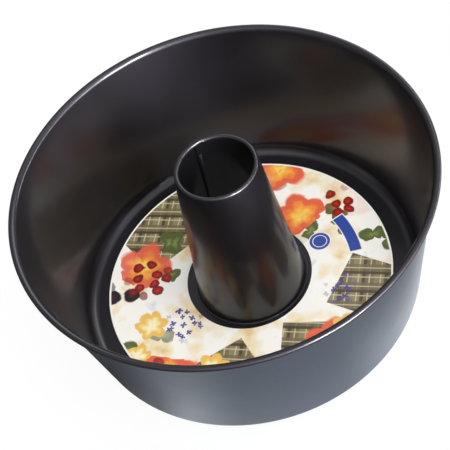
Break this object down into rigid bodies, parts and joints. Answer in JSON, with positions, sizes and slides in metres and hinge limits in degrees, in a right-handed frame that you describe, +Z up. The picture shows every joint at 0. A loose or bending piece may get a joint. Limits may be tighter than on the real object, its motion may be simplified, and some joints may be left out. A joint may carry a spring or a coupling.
{
  "type": "angel food cake pan",
  "caption": "Round tube pan of dark coated steel with a leaning wall, a rolled rim and a tapered centre tube, and a loose printed card ring on its floor.",
  "frame": {"origin": "centre of the face that the pan rests on", "axes": "+Z up along the tube; +Y away from the viewer of the picture and +X to the right"},
  "size_m": [0.254, 0.254, 0.114],
  "materials": {
    "pan_coating": "satin",
    "tube_coating": "satin",
    "printed_card": "satin"
  },
  "bodies": {
    "pan": {"pan_body": "pan_coating", "centre_tube": "tube_coating"},
    "card": {"label_card": "printed_card"}
  },
  "joints": [
    {"name": "card_lift", "type": "slide", "parent": "pan", "child": "card", "axis": [0, 0, 1], "range_m": [0, 0.116]}
  ]
}
